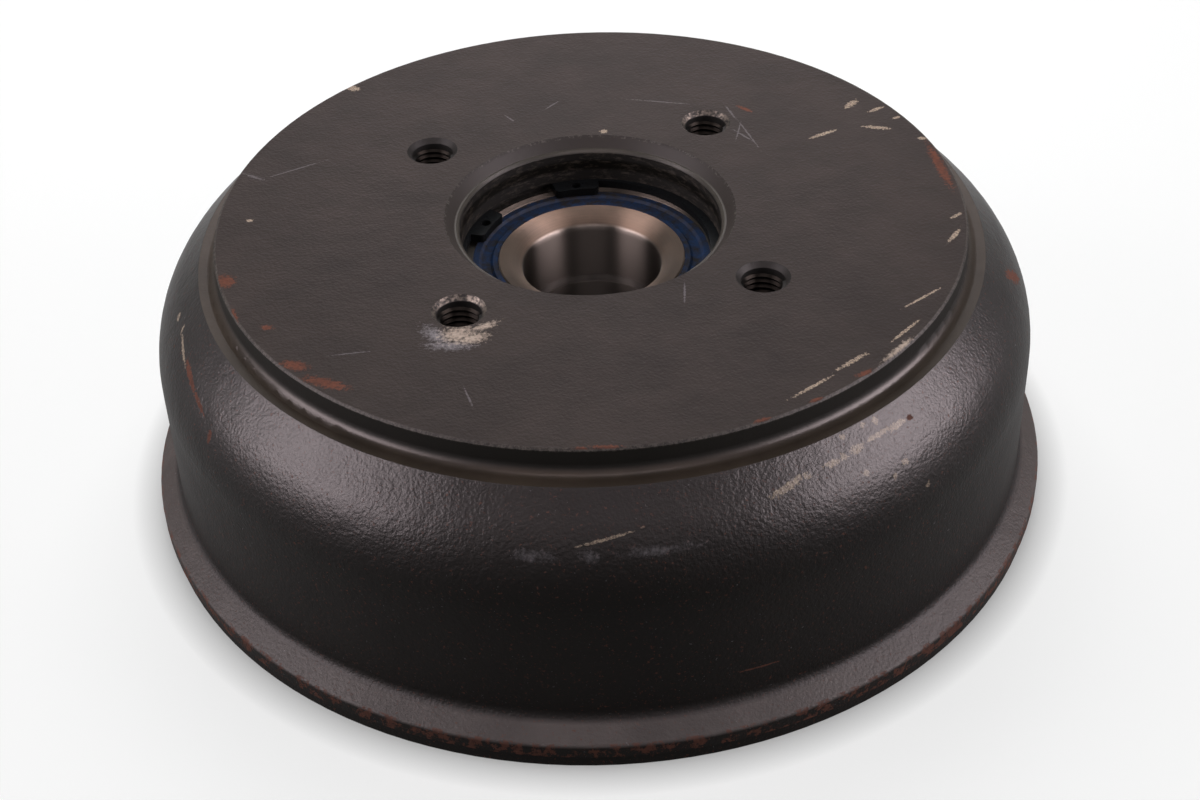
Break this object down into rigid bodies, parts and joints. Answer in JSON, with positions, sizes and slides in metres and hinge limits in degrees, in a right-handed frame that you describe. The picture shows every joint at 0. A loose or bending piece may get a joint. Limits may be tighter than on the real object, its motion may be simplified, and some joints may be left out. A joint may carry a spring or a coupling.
{
  "type": "brake drum with fitted wheel bearing",
  "caption": "Cast hub brake drum with a flat wheel face, stepped shoulder, lipped open rim, tapped wheel-bolt holes and a sealed wheel bearing held by a circlip in its hub bore.",
  "frame": {"origin": "centre of the open rim's face, on which the drum stands", "axes": "+Z along the hub's axis from the open rim to the wheel face; the wheel-bolt holes lie midway between X and Y"},
  "size_m": [0.2274, 0.2274, 0.0725],
  "materials": {
    "painted_casting": "satin black paint over grey iron, rough as cast on the outside and worn, chipped and rusty at the edges",
    "phosphated_spring_steel": "black phosphated spring steel, oily",
    "ground_bearing_steel": "fine-turned and ground bearing steel, bare",
    "polished_ball_steel": "polished bearing steel",
    "clip_steel": "dark spring steel",
    "blue_seal_rubber": "moulded blue seal rubber, slightly greasy",
    "cage_polyamide": "moulded natural polyamide"
  },
  "bodies": {
    "drum": {"brake_drum": "painted_casting", "circlip": "phosphated_spring_steel", "bearing_outer_ring": "ground_bearing_steel", "bearing_seal_outboard": "blue_seal_rubber", "bearing_seal_inboard": "blue_seal_rubber"},
    "inner_race": {"bearing_inner_ring_outboard": "ground_bearing_steel", "bearing_inner_ring_inboard": "ground_bearing_steel", "inner_ring_joining_clip": "clip_steel"},
    "ball_set": {"ball_cage_outboard": "cage_polyamide", "ball_cage_inboard": "cage_polyamide", "ball_outboard_01": "polished_ball_steel", "ball_outboard_02": "polished_ball_steel", "ball_outboard_03": "polished_ball_steel", "ball_outboard_04": "polished_ball_steel", "ball_outboard_05": "polished_ball_steel", "ball_outboard_06": "polished_ball_steel", "ball_outboard_07": "polished_ball_steel", "ball_outboard_08": "polished_ball_steel", "ball_outboard_09": "polished_ball_steel", "ball_outboard_10": "polished_ball_steel", "ball_outboard_11": "polished_ball_steel", "ball_outboard_12": "polished_ball_steel", "ball_outboard_13": "polished_ball_steel", "ball_outboard_14": "polished_ball_steel", "ball_inboard_01": "polished_ball_steel", "ball_inboard_02": "polished_ball_steel", "ball_inboard_03": "polished_ball_steel", "ball_inboard_04": "polished_ball_steel", "ball_inboard_05": "polished_ball_steel", "ball_inboard_06": "polished_ball_steel", "ball_inboard_07": "polished_ball_steel", "ball_inboard_08": "polished_ball_steel", "ball_inboard_09": "polished_ball_steel", "ball_inboard_10": "polished_ball_steel", "ball_inboard_11": "polished_ball_steel", "ball_inboard_12": "polished_ball_steel", "ball_inboard_13": "polished_ball_steel", "ball_inboard_14": "polished_ball_steel"}
  },
  "joints": [
    {"name": "bearing_spin", "type": "hinge", "parent": "drum", "child": "inner_race", "pos_m": [0, 0, 0.0409], "axis": [0, 0, 1], "continuous": true},
    {"name": "ball_orbit", "type": "hinge", "parent": "drum", "child": "ball_set", "pos_m": [0, 0, 0.0409], "axis": [0, 0, 1], "continuous": true}
  ],
  "couplings": [
    {"joint": "ball_orbit", "follows": "bearing_spin", "ratio": 0.4255}
  ]
}
